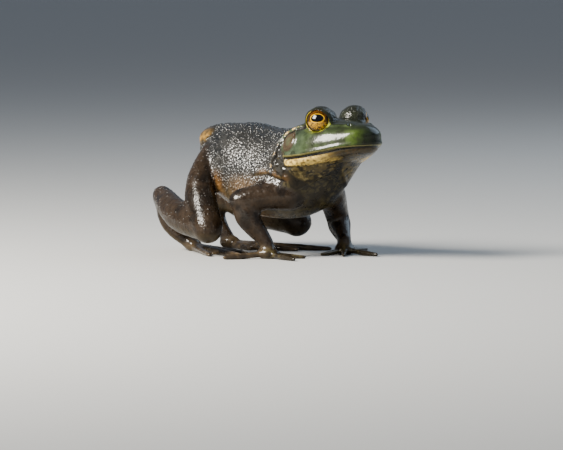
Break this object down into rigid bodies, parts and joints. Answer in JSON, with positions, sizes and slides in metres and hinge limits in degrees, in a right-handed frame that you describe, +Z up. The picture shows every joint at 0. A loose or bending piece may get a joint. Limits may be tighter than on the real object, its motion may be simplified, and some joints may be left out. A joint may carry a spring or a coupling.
{
  "type": "bullfrog model",
  "caption": "Life-size still model of a bullfrog sitting alert, its rump high, head raised and turned a little, hind legs folded and front feet spread on the floor.",
  "frame": {"origin": "on the floor, under the middle of the model's outer box", "axes": "+X the way the trunk faces, +Y to the frog's left, +Z up"},
  "size_m": [0.1548, 0.099, 0.0834],
  "materials": {
    "skin": "wet gloss",
    "eye": "wet gloss"
  },
  "bodies": {
    "root": {"eardrum_left": "skin", "eardrum_right": "skin", "eye_left": "eye", "eye_right": "eye", "finger_1_left": "skin", "finger_1_right": "skin", "finger_2_left": "skin", "finger_2_right": "skin", "finger_3_left": "skin", "finger_3_right": "skin", "finger_4_left": "skin", "finger_4_right": "skin", "foot_left": "skin", "foot_right": "skin", "forearm_left": "skin", "forearm_right": "skin", "head": "skin", "lower_jaw": "skin", "palm_left": "skin", "palm_right": "skin", "shank_left": "skin", "shank_right": "skin", "tarsus_left": "skin", "tarsus_right": "skin", "thigh_left": "skin", "thigh_right": "skin", "trunk": "skin", "upper_arm_left": "skin", "upper_arm_right": "skin"}
  },
  "joints": []
}
